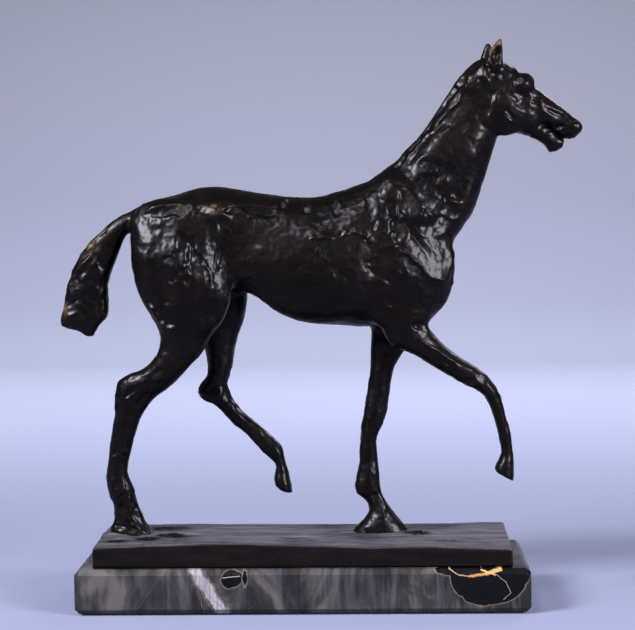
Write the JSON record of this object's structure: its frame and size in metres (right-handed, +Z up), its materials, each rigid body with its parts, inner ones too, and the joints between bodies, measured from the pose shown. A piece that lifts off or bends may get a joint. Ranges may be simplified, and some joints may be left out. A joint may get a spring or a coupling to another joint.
{
  "type": "bronze horse statuette",
  "caption": "Patinated bronze statuette of a walking horse on a modelled ground plinth, bolted to a chamfered slab of veined grey marble.",
  "frame": {"origin": "centre of the base's underside, on the surface that it stands on", "axes": "+X towards the horse's head, +Y towards the horse's left side, +Z up"},
  "size_m": [0.3649, 0.125, 0.391],
  "materials": {
    "bronze": "dark brown patina, waxed",
    "ground_bronze": "dark brown patina, dry and slightly dusty",
    "marble": "honed, veined",
    "steel": "plain",
    "felt": "matt felt"
  },
  "bodies": {
    "root": {"trunk": "bronze", "neck_and_head": "bronze", "left_foreleg": "bronze", "right_foreleg": "bronze", "left_hind_leg": "bronze", "right_hind_leg": "bronze", "tail": "bronze", "joint_pins": "steel", "core_plugs": "bronze", "plinth": "ground_bronze", "hoof_studs": "steel", "hoof_washers": "steel", "hoof_nuts": "steel", "marble_base": "marble", "base_bolts": "steel", "base_washers": "steel", "felt_underlay": "felt"}
  },
  "joints": []
}
